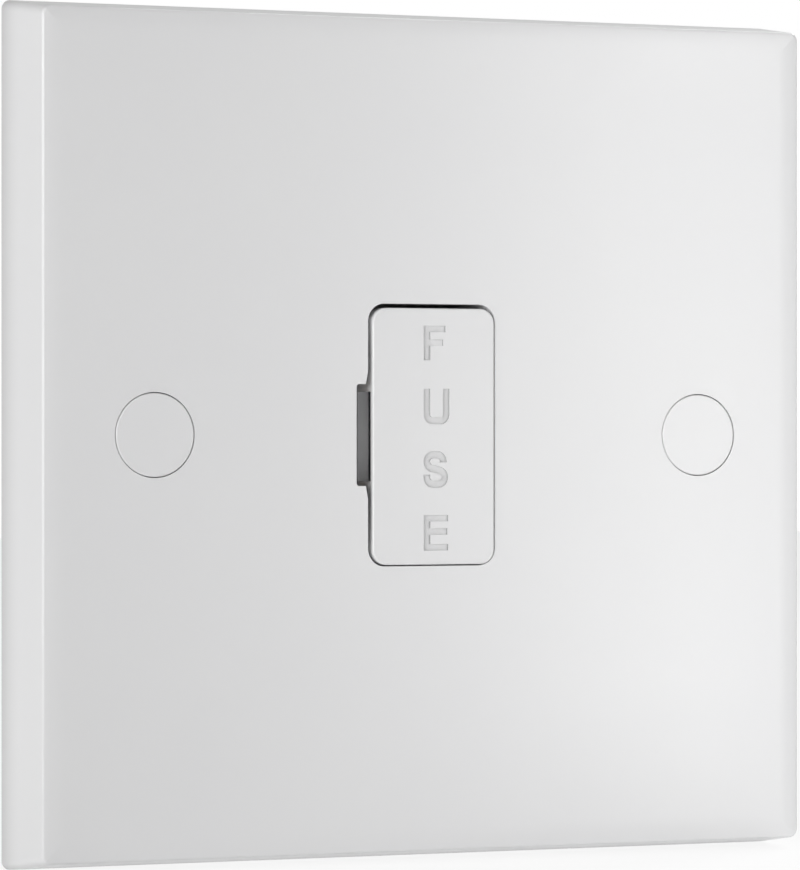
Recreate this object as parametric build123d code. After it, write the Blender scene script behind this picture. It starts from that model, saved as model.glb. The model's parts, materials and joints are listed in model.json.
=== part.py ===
from build123d import *
import os
from math import sqrt

# The frame: X to the right, Y into the wall, Z up, with the wall plane at Y = 0 (all sizes in mm).
# Heights are measured from the wall plane out into the room, so height h lies at Y = -h.

# Faceplate
PLATE_SIZE = 86.0            # square back edge, against the wall
PLATE_DRAFT = 1.1            # each side draws in by this towards the front
PLATE_DEPTH = 8.7            # wall plane to front face
PLATE_CORNER = 0.9           # upright edges, at the back and at the front
EDGE_RADIUS = 0.3            # rounding of the front edge
CROWN_WIDTH = 2.2            # band along each front edge that falls away
CROWN_DROP = 0.08            # how far it falls
PLATE_SKIN = 2.6             # thickness of the front wall
RIM_WALL = 2.2               # thickness of the side walls
RIM_INNER_CORNER = 1.0
GUSSET_THICKNESS = 1.2
GUSSET_LENGTH = 5.0
GUSSET_SETBACK = 2.0         # gussets stop this far in front of the wall plane
GUSSET_SPACING = 24.0        # between the gussets of one side

# Fixing screws and their caps
FIXING_CENTRES = 60.3
FIXING_SCREW_RADIUS = 1.75
FIXING_SCREW_LENGTH = 25.0   # under the head
FIXING_WAIST = 0.3           # the shank inside the plate is thinner by this
FIXING_HOLE_CLEARANCE = 0.35
FIXING_SLOT_PLAY = 2.0       # the right hole is longer by this, to level the plate
FIXING_HEAD_RADIUS = 3.3
FIXING_HEAD_HEIGHT = 2.3
FIXING_SEAT = 3.0            # height of the face that the head bears on
BOSS_WALL = 1.6
BOSS_SETBACK = 0.6           # bosses stop this far in front of the wall plane
CAP_RADIUS = 4.14
CAP_GAP = 0.1                # ring between a cap and the plate
CAP_THICKNESS = 1.4
CAP_SKIRT_WALL = 0.5
CAP_EDGE = 0.1
CAP_SLIT = 0.8               # two slits let the skirt give

# Cartridge fuse
FUSE_LENGTH = 25.4
FUSE_RADIUS = 3.175
FUSE_CAP_LENGTH = 5.6
FUSE_CAP_WALL = 0.3

# Fuse carrier
CARRIER_PROUD = 0.2          # stands out from the plate
CARRIER_FRONT_WALL = 2.1
CARRIER_CORNER = 1.5
CARRIER_EDGE = 0.2
CARRIER_END_MARGIN = 0.21    # carrier beyond each end of the fuse
CARRIER_SIDE_GAP = 0.3
CARRIER_END_GAP = 0.275
CARRIER_DROP = 0.145         # the carrier lies this much below the middle of its opening
SKIRT_WALL = 1.2
SKIRT_OVER_STRAP = 0.6       # the skirts end this far in front of the contact straps
CRADLE_WALL = 1.4
CRADLE_CLEARANCE = 0.05
CRADLE_END_GAP = 0.6         # between the cradle and the fuse's end caps
CRADLE_GRIP = 1.6            # the cradle reaches this far past the fuse's axis
CRADLE_MOUTH = 0.3           # each side of the cradle's mouth is narrower than the fuse by this
FUSE_BED = 0.6               # between the fuse's caps and the carrier's front wall
PRY_LIP = 0.45               # lip of the carrier below the plate's front face
PRY_POCKET_LENGTH = 9.0
PRY_POCKET_HEIGHT = 3.2
PRY_POCKET_DEPTH = 1.6

# Opening in the faceplate
OPENING_SHIFT = -0.15        # the opening lies left of the carrier, so the gap is wider there
APERTURE_EDGE = 0.05
NOTCH_LENGTH = 10.2
NOTCH_WIDTH = 1.25
NOTCH_CORNER = 0.3
NOTCH_TAPER = 0.24           # the opening widens by this towards the notch
NOTCH_TAPER_LENGTH = 1.3
TUBE_WALL = 1.2
TUBE_OVER_STRAP = 0.4        # the tube round the carrier ends this far in front of the straps

# Contacts and straps, all of one sheet
SHEET = 0.7
SHEET_BEND = 0.5             # inner radius of each bend
CLIP_CLEARANCE = 0.05
CLIP_UNDER_FUSE = 0.25
CLIP_ROOM = 1.605            # between a clip's arm and the carrier's skirt
CLIP_LENGTH = 4.6
CLIP_ARM_PAST_AXIS = 1.3
CLIP_FLARE_OUT = 0.7
CLIP_FLARE_UP = 1.1
STRAP_WIDTH = 5.0
STRAP_END_MARGIN = 1.2       # the straps stop this far from a terminal's outer end
STRAP_PARTING = 6.4          # between the supply strap and the load strap
EARTH_STRAP_WIDTH = 2.4
EARTH_STRAP_CLEARANCE = 0.2  # from the opening's edge
EARTH_STRAP_REACH = 2.6      # past the middle of the earth terminals
CREEPAGE = 3.0               # between the earth strap and the neutral terminals

# Terminals
BLOCK_WIDTH = 7.8
BLOCK_LENGTH = 9.0
BLOCK_DEPTH = 8.0
BLOCK_EDGE = 0.4
BORE_RADIUS = 2.2
BORE_DEPTH = 3.3             # bore's axis behind the block's front face
TERMINAL_SCREW_RADIUS = 1.95
TERMINAL_HEAD_RADIUS = 2.75
TERMINAL_HEAD_HEIGHT = 1.8
TIP_CLEARANCE = 0.2          # open screw's tip from the bore
WIRE_LEFT = 1.4              # bore left under the tip when the screw is right down
THREAD_CLEARANCE = 0.05
SLOT_WIDTH = 1.0
SLOT_DEPTH = 1.0

# Rear housing
HOUSING_WALL = 1.9
HOUSING_CORNER = 2.0
HOUSING_EDGE = 0.8           # rounding of the shrouds' upright edges
FLOOR_THICKNESS = 2.2
POCKET_GAP = 0.2
ROW_GAP = 1.3                # between the tube round the carrier and the terminals' pockets
WELL_CLEARANCE = 0.35        # round a terminal screw's head
HEAD_SINK = 1.1              # terminal screws' heads lie this deep in their wells
ENTRY_CLEARANCE = 0.5        # wire entry beyond the terminal's bore
ENTRY_FLARE = 0.8
STOP_LENGTH = 1.6
EAR_RADIUS = 3.2
EAR_THICKNESS = 2.0
EAR_SPACING = 34.0           # between the ears of one side
POST_LENGTH = 3.4            # posts of the plate that the ears sit on

# Screws that hold the housing to the plate
HOUSING_SCREW_RADIUS = 1.45
HOUSING_SCREW_LENGTH = 6.5
HOUSING_SCREW_CLEARANCE = 0.15
HOUSING_HEAD_RADIUS = 2.6
HOUSING_HEAD_HEIGHT = 1.6
PILOT_OVERRUN = 0.3

# Heights that follow from the sizes above
PLATE_INNER = PLATE_DEPTH - PLATE_SKIN
CARRIER_FACE = PLATE_DEPTH + CARRIER_PROUD
CARRIER_WALL_BACK = CARRIER_FACE - CARRIER_FRONT_WALL
FUSE_AXIS = CARRIER_WALL_BACK - FUSE_BED - FUSE_RADIUS
STRAP_FRONT = FUSE_AXIS - FUSE_RADIUS - CLIP_UNDER_FUSE
FLOOR = STRAP_FRONT - SHEET
SKIRT_END = STRAP_FRONT + SKIRT_OVER_STRAP
TUBE_END = STRAP_FRONT + TUBE_OVER_STRAP
BLOCK_BACK = FLOOR - BLOCK_DEPTH
BORE_AXIS = FLOOR - BORE_DEPTH
OPEN_TIP = BORE_AXIS - BORE_RADIUS - TIP_CLEARANCE
SCREW_TRAVEL = 2 * BORE_RADIUS + TIP_CLEARANCE - WIRE_LEFT
OPEN_HEAD_FRONT = BLOCK_BACK - SCREW_TRAVEL - THREAD_CLEARANCE
OPEN_HEAD_BACK = OPEN_HEAD_FRONT - TERMINAL_HEAD_HEIGHT
HOUSING_BACK = OPEN_HEAD_BACK - HEAD_SINK
EAR_FRONT = PLATE_INNER - POST_LENGTH
EAR_BACK = EAR_FRONT - EAR_THICKNESS

# Widths and places that follow from the sizes above
PLATE_FRONT_SIZE = PLATE_SIZE - 2 * PLATE_DRAFT
BARREL_RADIUS = FUSE_RADIUS - FUSE_CAP_WALL
CLIP_INNER = FUSE_RADIUS + CLIP_CLEARANCE
CARRIER_WIDTH = 2 * (CLIP_INNER + SHEET + CLIP_ROOM + SKIRT_WALL)
CARRIER_HEIGHT = FUSE_LENGTH + 2 * CARRIER_END_MARGIN
APERTURE_WIDTH = CARRIER_WIDTH + 2 * CARRIER_SIDE_GAP
APERTURE_HEIGHT = CARRIER_HEIGHT + 2 * CARRIER_END_GAP
CLIP_Z = (FUSE_LENGTH - FUSE_CAP_LENGTH) / 2
EARTH_LEG_X = -(APERTURE_WIDTH / 2 + EARTH_STRAP_CLEARANCE + EARTH_STRAP_WIDTH / 2)
TERMINAL_X = -EARTH_LEG_X + EARTH_STRAP_WIDTH / 2 + CREEPAGE + BLOCK_WIDTH / 2
POCKET_INNER_Z = APERTURE_HEIGHT / 2 + TUBE_WALL + ROW_GAP
TERMINAL_Z = POCKET_INNER_Z + POCKET_GAP + BLOCK_LENGTH / 2
POCKET_WIDTH = BLOCK_WIDTH + 2 * POCKET_GAP
POCKET_LENGTH = BLOCK_LENGTH + 2 * POCKET_GAP
TOWER_WIDTH = POCKET_WIDTH + 2 * HOUSING_WALL
TOWER_LENGTH = POCKET_LENGTH + 2 * HOUSING_WALL
HOUSING_WIDTH = 2 * TERMINAL_X + TOWER_WIDTH
HOUSING_HEIGHT = 2 * TERMINAL_Z + TOWER_LENGTH
STRAP_END_Z = TERMINAL_Z + BLOCK_LENGTH / 2 - STRAP_END_MARGIN
EAR_X = HOUSING_WIDTH / 2 + EAR_RADIUS
RECESS_RADIUS = CAP_RADIUS + CAP_GAP
BOSS_RADIUS = RECESS_RADIUS + BOSS_WALL
LEFT, RIGHT = -1, 1
LOAD, SUPPLY = 1, -1         # load terminals are the upper row, supply terminals the lower
BEYOND = 1.0                 # cutters run past the faces they cut by this


def at(height):
    """Plane parallel to the wall at a height, looking out into the room."""
    return Plane.XZ.offset(height)


def slab(outline, low, high):
    """Solid with this front outline, between two heights."""
    return extrude(at(low) * outline, high - low)


def peg(radius, x, z, low, high):
    """Round peg square to the wall, between two heights."""
    return slab(Pos(x, z) * Circle(radius), low, high)


def box_outline(x_low, x_high, z_low, z_high):
    """Rectangle given by its four sides."""
    place = Pos((x_low + x_high) / 2, (z_low + z_high) / 2)
    return place * Rectangle(x_high - x_low, z_high - z_low)


def upright(radius, x, height, z_low, z_high):
    """Round rod parallel to Z."""
    plane = Plane((x, -height, z_low), x_dir=(1, 0, 0), z_dir=(0, 0, 1))
    return extrude(plane * Circle(radius), z_high - z_low)


def notched_outline(growth):
    """Outline of the carrier's opening with its pry notch at the left, grown by a wall."""
    corner = CARRIER_CORNER + CARRIER_SIDE_GAP + growth
    opening = RectangleRounded(APERTURE_WIDTH + 2 * growth, APERTURE_HEIGHT + 2 * growth, corner)
    notch_left = -APERTURE_WIDTH / 2 - NOTCH_WIDTH - growth
    notch_reach = NOTCH_WIDTH + APERTURE_WIDTH / 2
    notch = RectangleRounded(notch_reach, NOTCH_LENGTH + 2 * growth, NOTCH_CORNER + growth)
    return Pos(OPENING_SHIFT, 0) * (opening + Pos(notch_left + notch_reach / 2, 0) * notch)


def aperture_outline():
    """Opening for the carrier, whose left side tapers out towards the notch."""
    edge = OPENING_SHIFT - APERTURE_WIDTH / 2
    notch_end = NOTCH_LENGTH / 2
    taper_end = notch_end + NOTCH_TAPER_LENGTH
    taper = Polygon(
        (edge, taper_end),
        (edge - NOTCH_TAPER, notch_end),
        (edge - NOTCH_TAPER, -notch_end),
        (edge, -taper_end),
        align=None,
    )
    return notched_outline(0) + taper


def crown_prism():
    """Bar along Z whose front falls away in a shallow arc towards both edges."""
    arc_radius = (CROWN_WIDTH ** 2 + CROWN_DROP ** 2) / (2 * CROWN_DROP)
    flat_half = PLATE_FRONT_SIZE / 2 - CROWN_WIDTH
    reach = PLATE_SIZE / 2 - flat_half

    def arc_point(side, run):
        fall = arc_radius - sqrt(arc_radius ** 2 - run ** 2)
        return (side * (flat_half + run), PLATE_DEPTH - fall)

    edges = [
        Line(arc_point(LEFT, 0), arc_point(RIGHT, 0)),
        ThreePointArc(arc_point(RIGHT, 0), arc_point(RIGHT, reach / 2), arc_point(RIGHT, reach)),
        Polyline(
            arc_point(RIGHT, reach),
            (flat_half + reach, -BEYOND),
            (-flat_half - reach, -BEYOND),
            arc_point(LEFT, reach),
        ),
        ThreePointArc(arc_point(LEFT, reach), arc_point(LEFT, reach / 2), arc_point(LEFT, 0)),
    ]
    section_plane = Plane((0, 0, 0), x_dir=(1, 0, 0), z_dir=(0, 0, -1))
    section = make_face(Curve(children=edges).edges())
    return extrude(section_plane * section, PLATE_SIZE / 2 + BEYOND, both=True)


def plate_shell():
    """Square plate with drafted sides, crowned front and a hollow back."""
    back = at(0) * RectangleRounded(PLATE_SIZE, PLATE_SIZE, PLATE_CORNER)
    front = at(PLATE_DEPTH) * RectangleRounded(PLATE_FRONT_SIZE, PLATE_FRONT_SIZE, PLATE_CORNER)
    crown = crown_prism()
    body = loft([back, front], ruled=True) & crown & crown.rotate(Axis.Y, 90)
    lowest = PLATE_DEPTH - CROWN_DROP - EDGE_RADIUS
    highest = PLATE_DEPTH - CROWN_DROP / 2
    front_edges = [
        edge for edge in body.edges()
        if all(lowest < -vertex.Y < highest for vertex in edge.vertices())
    ]
    body = fillet(front_edges, EDGE_RADIUS)
    back_hollow = PLATE_SIZE - 2 * RIM_WALL
    front_hollow = PLATE_FRONT_SIZE - 2 * RIM_WALL
    hollow = loft(
        [
            at(0) * RectangleRounded(back_hollow, back_hollow, RIM_INNER_CORNER),
            at(PLATE_INNER) * RectangleRounded(front_hollow, front_hollow, RIM_INNER_CORNER),
        ],
        ruled=True,
    )
    return body - hollow


def plate_gussets():
    """Short stiffening ribs from the rim onto the back of the front wall."""
    outer = PLATE_FRONT_SIZE / 2 - RIM_WALL / 2
    upright_rib = box_outline(
        -GUSSET_THICKNESS / 2, GUSSET_THICKNESS / 2, outer - GUSSET_LENGTH, outer
    )
    ribs = []
    for place in (-GUSSET_SPACING, 0, GUSSET_SPACING):
        rib = slab(Pos(place, 0) * upright_rib, GUSSET_SETBACK, PLATE_INNER + PLATE_SKIN / 2)
        ribs += [rib.rotate(Axis.Y, turn) for turn in (0, 90, 180, 270)]
    return ribs


def ear_places():
    """Where the housing's ears sit, as (side, X, Z)."""
    return [
        (side, side * EAR_X, level * EAR_SPACING / 2)
        for side in (LEFT, RIGHT)
        for level in (SUPPLY, LOAD)
    ]


def build_faceplate():
    """The plate, with its screw bosses, its posts and the tube round the carrier."""
    plate = plate_shell()
    for rib in plate_gussets():
        plate += rib
    into_skin = PLATE_INNER + PLATE_SKIN / 2
    plate += slab(notched_outline(TUBE_WALL), TUBE_END, into_skin)
    for side in (LEFT, RIGHT):
        plate += peg(BOSS_RADIUS, side * FIXING_CENTRES / 2, 0, BOSS_SETBACK, into_skin)
    for _, x, z in ear_places():
        plate += peg(EAR_RADIUS, x, z, EAR_FRONT, into_skin)
    plate -= slab(aperture_outline(), TUBE_END - BEYOND, PLATE_DEPTH + BEYOND)
    hole_radius = FIXING_SCREW_RADIUS + FIXING_HOLE_CLEARANCE
    slot = SlotOverall(2 * hole_radius + FIXING_SLOT_PLAY, 2 * hole_radius)
    for side, hole in ((LEFT, Circle(hole_radius)), (RIGHT, slot)):
        x = side * FIXING_CENTRES / 2
        plate -= peg(RECESS_RADIUS, x, 0, FIXING_SEAT, PLATE_DEPTH + BEYOND)
        plate -= slab(Pos(x, 0) * hole, BOSS_SETBACK - BEYOND, FIXING_SEAT + BEYOND)
    for _, x, z in ear_places():
        pilot_depth = EAR_BACK + HOUSING_SCREW_LENGTH + PILOT_OVERRUN
        plate -= peg(HOUSING_SCREW_RADIUS + THREAD_CLEARANCE, x, z, EAR_FRONT - BEYOND, pilot_depth)
    opening_edges = [
        edge for edge in plate.edges()
        if all(abs(-vertex.Y - PLATE_DEPTH) < CROWN_DROP / 10 for vertex in edge.vertices())
        and abs(edge.center().X) < APERTURE_WIDTH and abs(edge.center().Z) < APERTURE_HEIGHT
    ]
    return chamfer(opening_edges, APERTURE_EDGE)


def build_screw_cap(side):
    """Flush cap with a slit skirt that grips the recess round the screw's head."""
    x = side * FIXING_CENTRES / 2
    disc = peg(CAP_RADIUS, x, 0, PLATE_DEPTH - CAP_THICKNESS, PLATE_DEPTH)
    rim = disc.edges().group_by(Axis.Y)[0]
    disc = chamfer(rim, CAP_EDGE)
    skirt = peg(CAP_RADIUS, x, 0, FIXING_SEAT, PLATE_DEPTH - CAP_THICKNESS)
    skirt -= peg(CAP_RADIUS - CAP_SKIRT_WALL, x, 0, FIXING_SEAT, PLATE_DEPTH - CAP_THICKNESS)
    slit = Rectangle(CAP_SLIT, 2 * RECESS_RADIUS)
    for turn in (0, 90):
        skirt -= slab(Pos(x, 0) * Rot(0, 0, turn) * slit, FIXING_SEAT, PLATE_DEPTH - CAP_THICKNESS)
    return disc + skirt


def driver_slot(x, z, head_radius, low, high):
    """Cutter for a straight slot across a screw's head."""
    return slab(Pos(x, z) * Rectangle(2 * head_radius + BEYOND, SLOT_WIDTH), low, high)


def build_fixing_screw(side):
    """Machine screw through the plate into the wall box, thinner where it passes the plate."""
    x = side * FIXING_CENTRES / 2
    head_top = FIXING_SEAT + FIXING_HEAD_HEIGHT
    head = peg(FIXING_HEAD_RADIUS, x, 0, FIXING_SEAT, head_top)
    head -= driver_slot(x, 0, FIXING_HEAD_RADIUS, head_top - SLOT_DEPTH, head_top + BEYOND)
    tip = FIXING_SEAT - FIXING_SCREW_LENGTH
    thread = peg(FIXING_SCREW_RADIUS, x, 0, tip, 0)
    waist = peg(FIXING_SCREW_RADIUS - FIXING_WAIST, x, 0, 0, FIXING_SEAT)
    return head + thread + waist


def carrier_cradle():
    """Block on the back of the carrier that snaps round the fuse's barrel."""
    grip_radius = BARREL_RADIUS + CRADLE_CLEARANCE
    half_width = grip_radius + CRADLE_WALL
    length = FUSE_LENGTH - 2 * FUSE_CAP_LENGTH - 2 * CRADLE_END_GAP
    low = FUSE_AXIS - CRADLE_GRIP
    block = slab(Rectangle(2 * half_width, length), low, CARRIER_WALL_BACK)
    mouth_width = 2 * (BARREL_RADIUS - CRADLE_MOUTH)
    block -= slab(Rectangle(mouth_width, length), low, FUSE_AXIS)
    return block - upright(grip_radius, 0, FUSE_AXIS, -length / 2, length / 2)


def build_fuse_carrier():
    """Pull-out carrier: a front wall, two side skirts, the cradle and a pocket to pry it out by."""
    carrier = slab(
        RectangleRounded(CARRIER_WIDTH, CARRIER_HEIGHT, CARRIER_CORNER), CARRIER_WALL_BACK, CARRIER_FACE
    )
    carrier = fillet(carrier.edges().group_by(Axis.Y)[0], CARRIER_EDGE)
    skirt_half = CARRIER_HEIGHT / 2 - CARRIER_CORNER
    for side in (LEFT, RIGHT):
        sides = sorted((side * CARRIER_WIDTH / 2, side * (CARRIER_WIDTH / 2 - SKIRT_WALL)))
        carrier += slab(box_outline(*sides, -skirt_half, skirt_half), SKIRT_END, CARRIER_WALL_BACK)
    carrier += carrier_cradle()
    pocket_top = PLATE_DEPTH - PRY_LIP
    pocket = box_outline(
        -CARRIER_WIDTH / 2 - BEYOND,
        -CARRIER_WIDTH / 2 + PRY_POCKET_DEPTH,
        -PRY_POCKET_LENGTH / 2,
        PRY_POCKET_LENGTH / 2,
    )
    carrier -= slab(pocket, pocket_top - PRY_POCKET_HEIGHT, pocket_top)
    return Pos(0, 0, -CARRIER_DROP) * carrier


def build_fuse_barrel():
    """Ceramic tube of the fuse, between the ends of its caps."""
    half = FUSE_LENGTH / 2 - FUSE_CAP_WALL
    return upright(BARREL_RADIUS, 0, FUSE_AXIS, -half - CARRIER_DROP, half - CARRIER_DROP)


def build_fuse_cap(level):
    """Metal cup over one end of the fuse."""
    end = level * FUSE_LENGTH / 2
    cap = upright(FUSE_RADIUS, 0, FUSE_AXIS, *sorted((end, end - level * FUSE_CAP_LENGTH)))
    inside = sorted((end - level * FUSE_CAP_WALL, end - level * (FUSE_CAP_LENGTH + BEYOND)))
    cap -= upright(BARREL_RADIUS, 0, FUSE_AXIS, *inside)
    return Pos(0, 0, -CARRIER_DROP) * cap


def clip_jaw():
    """Bent sheet that takes one end of the fuse between two sprung arms."""
    arm_top = FUSE_AXIS + CLIP_ARM_PAST_AXIS
    outside = CLIP_INNER + SHEET
    path = FilletPolyline(
        (-outside - CLIP_FLARE_OUT, arm_top + CLIP_FLARE_UP),
        (-outside, arm_top),
        (-outside, FLOOR),
        (outside, FLOOR),
        (outside, arm_top),
        (outside + CLIP_FLARE_OUT, arm_top + CLIP_FLARE_UP),
        radius=SHEET + SHEET_BEND,
    )
    section_plane = Plane((0, 0, CLIP_Z), x_dir=(1, 0, 0), z_dir=(0, 0, -1))
    section = make_face(offset(path, SHEET, side=Side.LEFT).edges())
    return extrude(section_plane * section, CLIP_LENGTH / 2, both=True)


def build_fuse_clip(level):
    """One fuse contact, with the strap that joins it to its line terminal."""
    clip_edge = CLIP_Z - CLIP_LENGTH / 2
    far_side = TERMINAL_X + STRAP_WIDTH / 2
    tail = box_outline(-CLIP_INNER, far_side, STRAP_PARTING / 2, clip_edge + SHEET)
    tail += box_outline(-CLIP_INNER, CLIP_INNER - SHEET_BEND, STRAP_PARTING / 2, CLIP_Z)
    leg = box_outline(far_side - STRAP_WIDTH, far_side, STRAP_PARTING / 2, STRAP_END_Z)
    clip = clip_jaw() + slab(tail + leg, FLOOR, STRAP_FRONT)
    return clip if level == LOAD else clip.mirror(Plane.XY)


def build_neutral_link():
    """Straight strap between the two neutral terminals."""
    return slab(Pos(-TERMINAL_X, 0) * Rectangle(STRAP_WIDTH, 2 * STRAP_END_Z), FLOOR, STRAP_FRONT)


def build_earth_strap():
    """Strap that joins the earth terminals round the left side of the carrier's tube."""
    left = EARTH_LEG_X - EARTH_STRAP_WIDTH / 2
    outline = box_outline(left, left + EARTH_STRAP_WIDTH, -TERMINAL_Z, TERMINAL_Z)
    for level in (SUPPLY, LOAD):
        lug = box_outline(left, EARTH_STRAP_REACH, -STRAP_WIDTH / 2, STRAP_WIDTH / 2)
        outline += Pos(0, level * TERMINAL_Z) * lug
    return slab(outline, FLOOR, STRAP_FRONT)


def build_terminal(x, level):
    """Brass pillar terminal: a block with a wire bore along Z and a screw hole from the back."""
    z = level * TERMINAL_Z
    block = slab(Pos(x, z) * Rectangle(BLOCK_WIDTH, BLOCK_LENGTH), BLOCK_BACK, FLOOR)
    block = chamfer(block.edges().filter_by(Axis.Y), BLOCK_EDGE)
    block -= upright(BORE_RADIUS, x, BORE_AXIS, z - BLOCK_LENGTH / 2, z + BLOCK_LENGTH / 2)
    return block - peg(TERMINAL_SCREW_RADIUS + THREAD_CLEARANCE, x, z, BLOCK_BACK, BORE_AXIS)


def build_terminal_screw(x, level):
    """Terminal screw, backed out so that its tip leaves the wire bore clear."""
    z = level * TERMINAL_Z
    shaft = peg(TERMINAL_SCREW_RADIUS, x, z, OPEN_HEAD_FRONT, OPEN_TIP)
    head = peg(TERMINAL_HEAD_RADIUS, x, z, OPEN_HEAD_BACK, OPEN_HEAD_FRONT)
    slot_floor = OPEN_HEAD_BACK + SLOT_DEPTH
    head -= driver_slot(x, z, TERMINAL_HEAD_RADIUS, OPEN_HEAD_BACK - BEYOND, slot_floor)
    return shaft + head


def housing_tower(x, level):
    """Shroud round one terminal, behind the housing's floor."""
    outline = Pos(x, level * TERMINAL_Z) * Rectangle(TOWER_WIDTH, TOWER_LENGTH)
    tower = slab(outline, HOUSING_BACK, FLOOR)
    return fillet(tower.edges().filter_by(Axis.Y), HOUSING_EDGE)


def tower_cutters(x, level):
    """Pocket, screw well and flared wire entry of one terminal's shroud."""
    z = level * TERMINAL_Z
    entry_radius = BORE_RADIUS + ENTRY_CLEARANCE
    outside = level * HOUSING_HEIGHT / 2
    flare_plane = Plane((x, -BORE_AXIS, outside), x_dir=(1, 0, 0), z_dir=(0, 0, -level))
    flare = loft(
        [
            flare_plane * Circle(entry_radius + ENTRY_FLARE),
            flare_plane.offset(ENTRY_FLARE) * Circle(entry_radius),
        ]
    )
    return [
        slab(Pos(x, z) * Rectangle(POCKET_WIDTH, POCKET_LENGTH), BLOCK_BACK, FLOOR),
        peg(TERMINAL_HEAD_RADIUS + WELL_CLEARANCE, x, z, HOUSING_BACK - BEYOND, BLOCK_BACK),
        upright(entry_radius, x, BORE_AXIS, *sorted((z, outside + level * BEYOND))),
        flare,
    ]


def housing_ear(side, x, z):
    """Lug at the housing's side for one of its screws."""
    web = box_outline(*sorted((x, side * (HOUSING_WIDTH - HOUSING_WALL) / 2)), z - EAR_RADIUS, z + EAR_RADIUS)
    ear = slab(web + Pos(x, z) * Circle(EAR_RADIUS), EAR_BACK, EAR_FRONT)
    return ear - peg(HOUSING_SCREW_RADIUS + HOUSING_SCREW_CLEARANCE, x, z, EAR_BACK, EAR_FRONT)


def terminal_places():
    """The six terminals, as (name, X, level)."""
    columns = (("neutral", -TERMINAL_X), ("earth", 0), ("line", TERMINAL_X))
    rows = (("load", LOAD), ("supply", SUPPLY))
    return [(f"{pole}_{row}", x, level) for pole, x in columns for row, level in rows]


def build_rear_housing():
    """Tray behind the plate, with a shroud for each terminal, stops for the carrier and four ears."""
    housing = slab(
        RectangleRounded(HOUSING_WIDTH, HOUSING_HEIGHT, HOUSING_CORNER), FLOOR - FLOOR_THICKNESS, PLATE_INNER
    )
    housing -= slab(
        Rectangle(HOUSING_WIDTH - 2 * HOUSING_WALL, HOUSING_HEIGHT - 2 * HOUSING_WALL), FLOOR, PLATE_INNER
    )
    for _, x, level in terminal_places():
        housing += housing_tower(x, level)
    for side, x, z in ear_places():
        housing += housing_ear(side, x, z)
    stop_x = (CARRIER_WIDTH - SKIRT_WALL) / 2
    stop_z = CARRIER_HEIGHT / 2 - CARRIER_CORNER - STOP_LENGTH
    for side in (LEFT, RIGHT):
        for level in (SUPPLY, LOAD):
            stop = Pos(side * stop_x, level * stop_z) * Rectangle(SKIRT_WALL, STOP_LENGTH)
            housing += slab(stop, FLOOR, SKIRT_END)
    for _, x, level in terminal_places():
        for cutter in tower_cutters(x, level):
            housing -= cutter
    return housing


def build_housing_screws():
    """Four self-tapping screws from the back through the ears into the plate's posts."""
    screws = []
    for _, x, z in ear_places():
        head = peg(HOUSING_HEAD_RADIUS, x, z, EAR_BACK - HOUSING_HEAD_HEIGHT, EAR_BACK)
        slot_back = EAR_BACK - HOUSING_HEAD_HEIGHT - BEYOND
        head -= driver_slot(x, z, HOUSING_HEAD_RADIUS, slot_back, slot_back + BEYOND + SLOT_DEPTH)
        screws.append(head + peg(HOUSING_SCREW_RADIUS, x, z, EAR_BACK, EAR_BACK + HOUSING_SCREW_LENGTH))
    return Compound(children=screws)


def build_all():
    """Every piece of the unit by name."""
    pieces = {
        "faceplate": build_faceplate(),
        "rear_housing": build_rear_housing(),
        "housing_screws": build_housing_screws(),
        "fuse_carrier": build_fuse_carrier(),
        "fuse_barrel": build_fuse_barrel(),
        "fuse_cap_upper": build_fuse_cap(LOAD),
        "fuse_cap_lower": build_fuse_cap(SUPPLY),
        "load_fuse_clip": build_fuse_clip(LOAD),
        "supply_fuse_clip": build_fuse_clip(SUPPLY),
        "neutral_link": build_neutral_link(),
        "earth_strap": build_earth_strap(),
    }
    for name, side in (("left", LEFT), ("right", RIGHT)):
        pieces[f"screw_cap_{name}"] = build_screw_cap(side)
        pieces[f"fixing_screw_{name}"] = build_fixing_screw(side)
    for name, x, level in terminal_places():
        pieces[f"{name}_terminal"] = build_terminal(x, level)
        pieces[f"{name}_screw"] = build_terminal_screw(x, level)
    return pieces


os.makedirs("parts", exist_ok=True)
for node, piece in build_all().items():
    export_step(piece, f"parts/{node}.step")
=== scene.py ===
import json
import math

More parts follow.
